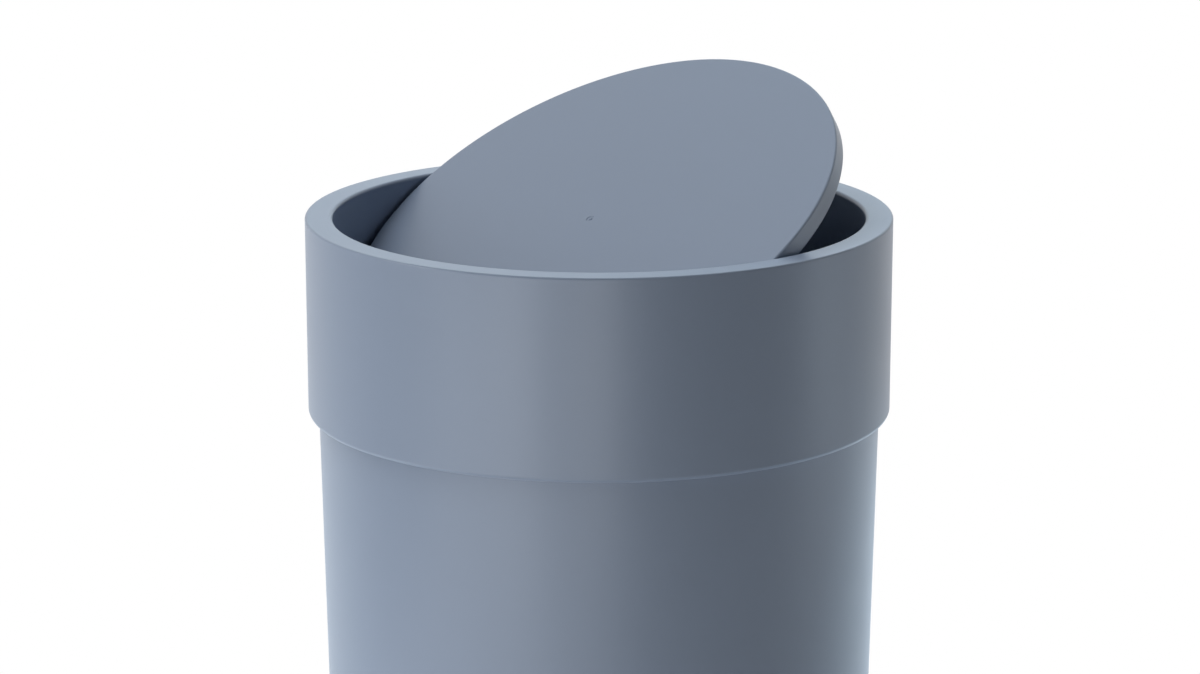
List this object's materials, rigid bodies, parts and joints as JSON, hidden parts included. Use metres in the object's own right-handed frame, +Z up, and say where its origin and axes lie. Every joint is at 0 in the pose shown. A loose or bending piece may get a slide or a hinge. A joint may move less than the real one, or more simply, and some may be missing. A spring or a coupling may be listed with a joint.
{
  "type": "swing-lid waste can",
  "caption": "Round tapered waste can with a deep lift-off collar and a weighted disc that tilts on pins across the collar's bore.",
  "frame": {"origin": "centre of the underside, on the plane that the foot stands on", "axes": "+Z up; +X along the axis that the flap turns on; the flap stands open at rest with its +Y side raised"},
  "size_m": [0.19, 0.19, 0.3065],
  "materials": {
    "slate_shell": "satin slate blue-grey moulded plastic",
    "slate_inner": "slate blue-grey plastic, fine matt tool texture",
    "bearing_plastic": "natural white bearing plastic",
    "bright_steel": "bright zinc-plated steel",
    "weight_steel": "plain rolled steel bar"
  },
  "bodies": {
    "can": {"can_body": "slate_shell"},
    "lid": {"collar": "slate_shell", "pivot_bush_left": "bearing_plastic", "pivot_bush_right": "bearing_plastic"},
    "flap": {"flap_cap": "slate_shell", "flap_base": "slate_inner", "counterweight": "weight_steel", "pivot_pin_left": "bright_steel", "pivot_pin_right": "bright_steel", "flap_screw_1": "bright_steel", "flap_screw_2": "bright_steel", "flap_screw_3": "bright_steel", "flap_screw_4": "bright_steel", "flap_screw_5": "bright_steel", "flap_screw_6": "bright_steel"}
  },
  "joints": [
    {"name": "lid_lift", "type": "slide", "parent": "can", "child": "lid", "axis": [0, 0, 1], "range_m": [0, 0.1]},
    {"name": "flap_swing", "type": "hinge", "parent": "lid", "child": "flap", "pos_m": [0, 0, 0.25723], "axis": [1, 0, 0], "continuous": true}
  ]
}
